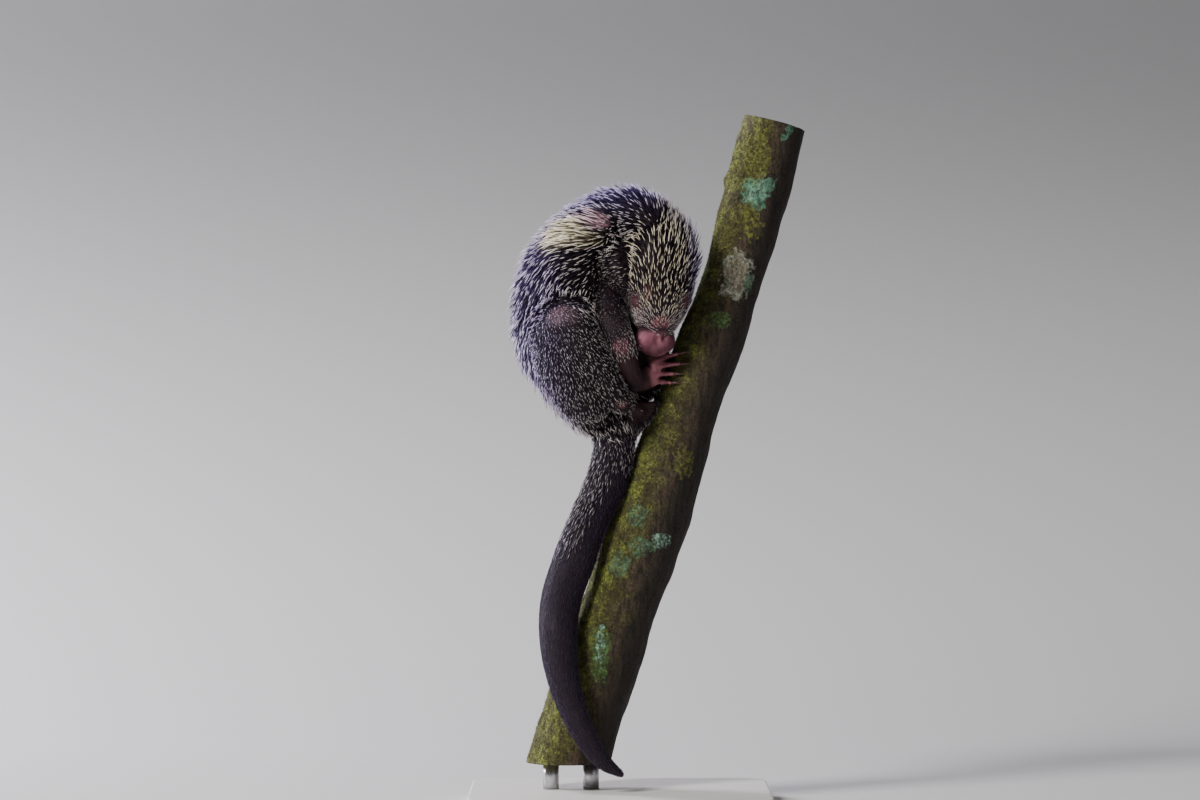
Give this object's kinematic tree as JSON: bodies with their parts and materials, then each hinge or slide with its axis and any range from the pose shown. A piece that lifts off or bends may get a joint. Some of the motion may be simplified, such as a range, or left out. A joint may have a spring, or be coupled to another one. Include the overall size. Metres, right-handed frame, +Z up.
{
  "type": "prehensile-tailed porcupine model on a perch",
  "caption": "Life-size still model of a prehensile-tailed porcupine, curled asleep and gripping a slanting branch, its tail hanging across it, on a plain display stand.",
  "frame": {"origin": "middle of the underside of the display stand's base, on the floor", "axes": "+Z up, +X towards the side that the branch leans to, which is the way the animal's belly faces, +Y away from a viewer who sees the animal's right side"},
  "size_m": [0.3355, 0.24, 0.6919],
  "materials": {
    "quilled_coat": "dark skin under quills that are blackish with cream-white tips",
    "bare_skin": "dull pink velvety bare skin of the nose and ears",
    "foot_skin": "dull dark pink skin with fine creases",
    "claw": "dark red-brown horn, slightly glossy",
    "eye": "glossy near-black",
    "tail_bristle": "short dense blackish bristles with a violet sheen",
    "bark": "rough brown bark with yellow-green moss and pale lichen",
    "board": "satin off-white painted board",
    "rod": "brushed"
  },
  "bodies": {
    "root": {"head": "quilled_coat", "neck": "quilled_coat", "torso": "quilled_coat", "tail_base": "quilled_coat", "upper_arm_right": "quilled_coat", "forearm_right": "quilled_coat", "thigh_right": "quilled_coat", "shank_right": "quilled_coat", "hand_right": "foot_skin", "foot_right": "foot_skin", "ear_right": "bare_skin", "eye_right": "eye", "hand_claw_right_1": "claw", "foot_claw_right_1": "claw", "hand_claw_right_2": "claw", "foot_claw_right_2": "claw", "hand_claw_right_3": "claw", "foot_claw_right_3": "claw", "hand_claw_right_4": "claw", "foot_claw_right_4": "claw", "upper_arm_left": "quilled_coat", "forearm_left": "quilled_coat", "thigh_left": "quilled_coat", "shank_left": "quilled_coat", "hand_left": "foot_skin", "foot_left": "foot_skin", "ear_left": "bare_skin", "eye_left": "eye", "hand_claw_left_1": "claw", "foot_claw_left_1": "claw", "hand_claw_left_2": "claw", "foot_claw_left_2": "claw", "hand_claw_left_3": "claw", "foot_claw_left_3": "claw", "hand_claw_left_4": "claw", "foot_claw_left_4": "claw", "nose": "bare_skin", "tail_middle": "tail_bristle", "tail_tip": "tail_bristle", "perch": "bark", "stand_base": "board", "stand_rod_1": "rod", "stand_rod_2": "rod"}
  },
  "joints": []
}
